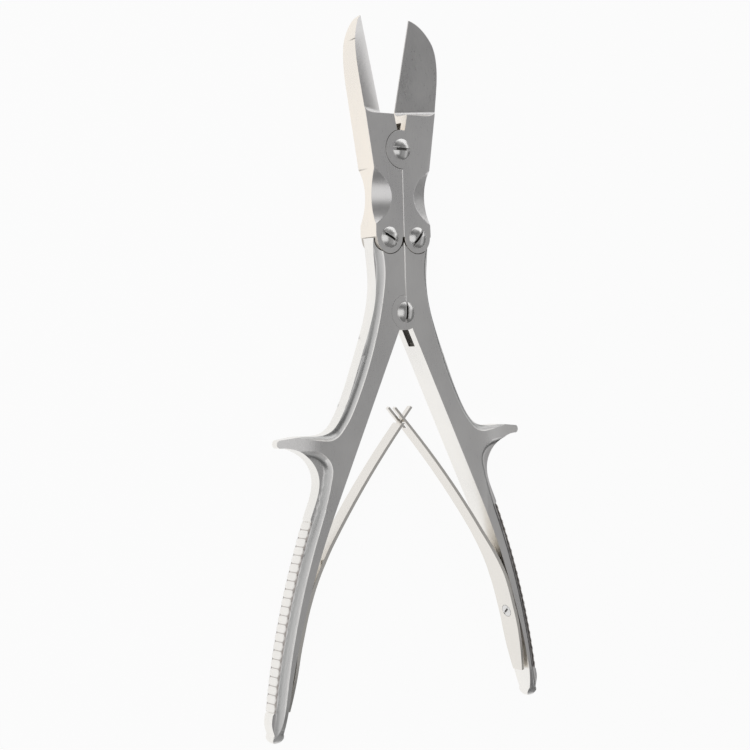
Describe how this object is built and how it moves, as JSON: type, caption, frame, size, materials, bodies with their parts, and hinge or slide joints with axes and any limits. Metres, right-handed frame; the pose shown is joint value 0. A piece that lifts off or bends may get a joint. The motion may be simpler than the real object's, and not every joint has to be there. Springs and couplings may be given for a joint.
{
  "type": "double-action bone cutting forceps",
  "caption": "Double-action bone cutting forceps, fully open: two jaws on a front pivot, linked to two long sprung handles with finger stops and ribbed grips.",
  "frame": {"origin": "centre of the bounding box in X and Y, on the plane of the back faces that the instrument lies on", "axes": "+Y along the instrument towards the blade tips, +X to the right jaw and handle, +Z out of the front faces that carry the screw heads"},
  "size_m": [0.128, 0.2686, 0.0113],
  "materials": {
    "body_steel": "fine satin stainless steel",
    "spring_steel": "satin spring steel",
    "screw_steel": "polished stainless steel"
  },
  "bodies": {
    "left_handle": {"left_handle": "body_steel", "left_spring_screw": "screw_steel"},
    "right_handle": {"right_handle": "body_steel", "rear_pivot_screw": "screw_steel", "right_spring_screw": "screw_steel"},
    "left_jaw": {"left_jaw": "body_steel", "left_link_screw": "screw_steel"},
    "right_jaw": {"right_jaw": "body_steel", "right_link_screw": "screw_steel", "front_pivot_screw": "screw_steel"},
    "left_spring": {"left_spring": "spring_steel"},
    "right_spring": {"right_spring": "spring_steel"}
  },
  "joints": [
    {"name": "handle_pivot", "type": "hinge", "parent": "left_handle", "child": "right_handle", "pos_m": [0, 0.02125, 0.005], "axis": [0, 0, -1], "range_deg": [0, 29.76], "stiffness_Nm_per_rad": 0.5, "springref_deg": -8.59},
    {"name": "left_link_pivot", "type": "hinge", "parent": "left_handle", "child": "left_jaw", "pos_m": [-0.0066, 0.04965, 0.005], "axis": [0, 0, -1], "range_deg": [0, 27.4]},
    {"name": "right_link_pivot", "type": "hinge", "parent": "right_handle", "child": "right_jaw", "pos_m": [0.0066, 0.04965, 0.005], "axis": [0, 0, 1], "range_deg": [0, 27.4]},
    {"name": "left_spring_bend", "type": "hinge", "parent": "left_handle", "child": "left_spring", "pos_m": [-0.0478, -0.08365, 0.005], "axis": [0, 0, 1], "range_deg": [0, 8], "deforming": ["left_spring"]},
    {"name": "right_spring_bend", "type": "hinge", "parent": "right_handle", "child": "right_spring", "pos_m": [0.0478, -0.08365, 0.005], "axis": [0, 0, -1], "range_deg": [0, 8], "deforming": ["right_spring"]}
  ],
  "couplings": [
    {"joint": "left_link_pivot", "follows": "handle_pivot", "ratio": 0.9203},
    {"joint": "right_link_pivot", "follows": "handle_pivot", "ratio": 0.9203},
    {"joint": "left_spring_bend", "follows": "handle_pivot", "ratio": 0.268},
    {"joint": "right_spring_bend", "follows": "handle_pivot", "ratio": 0.268}
  ]
}
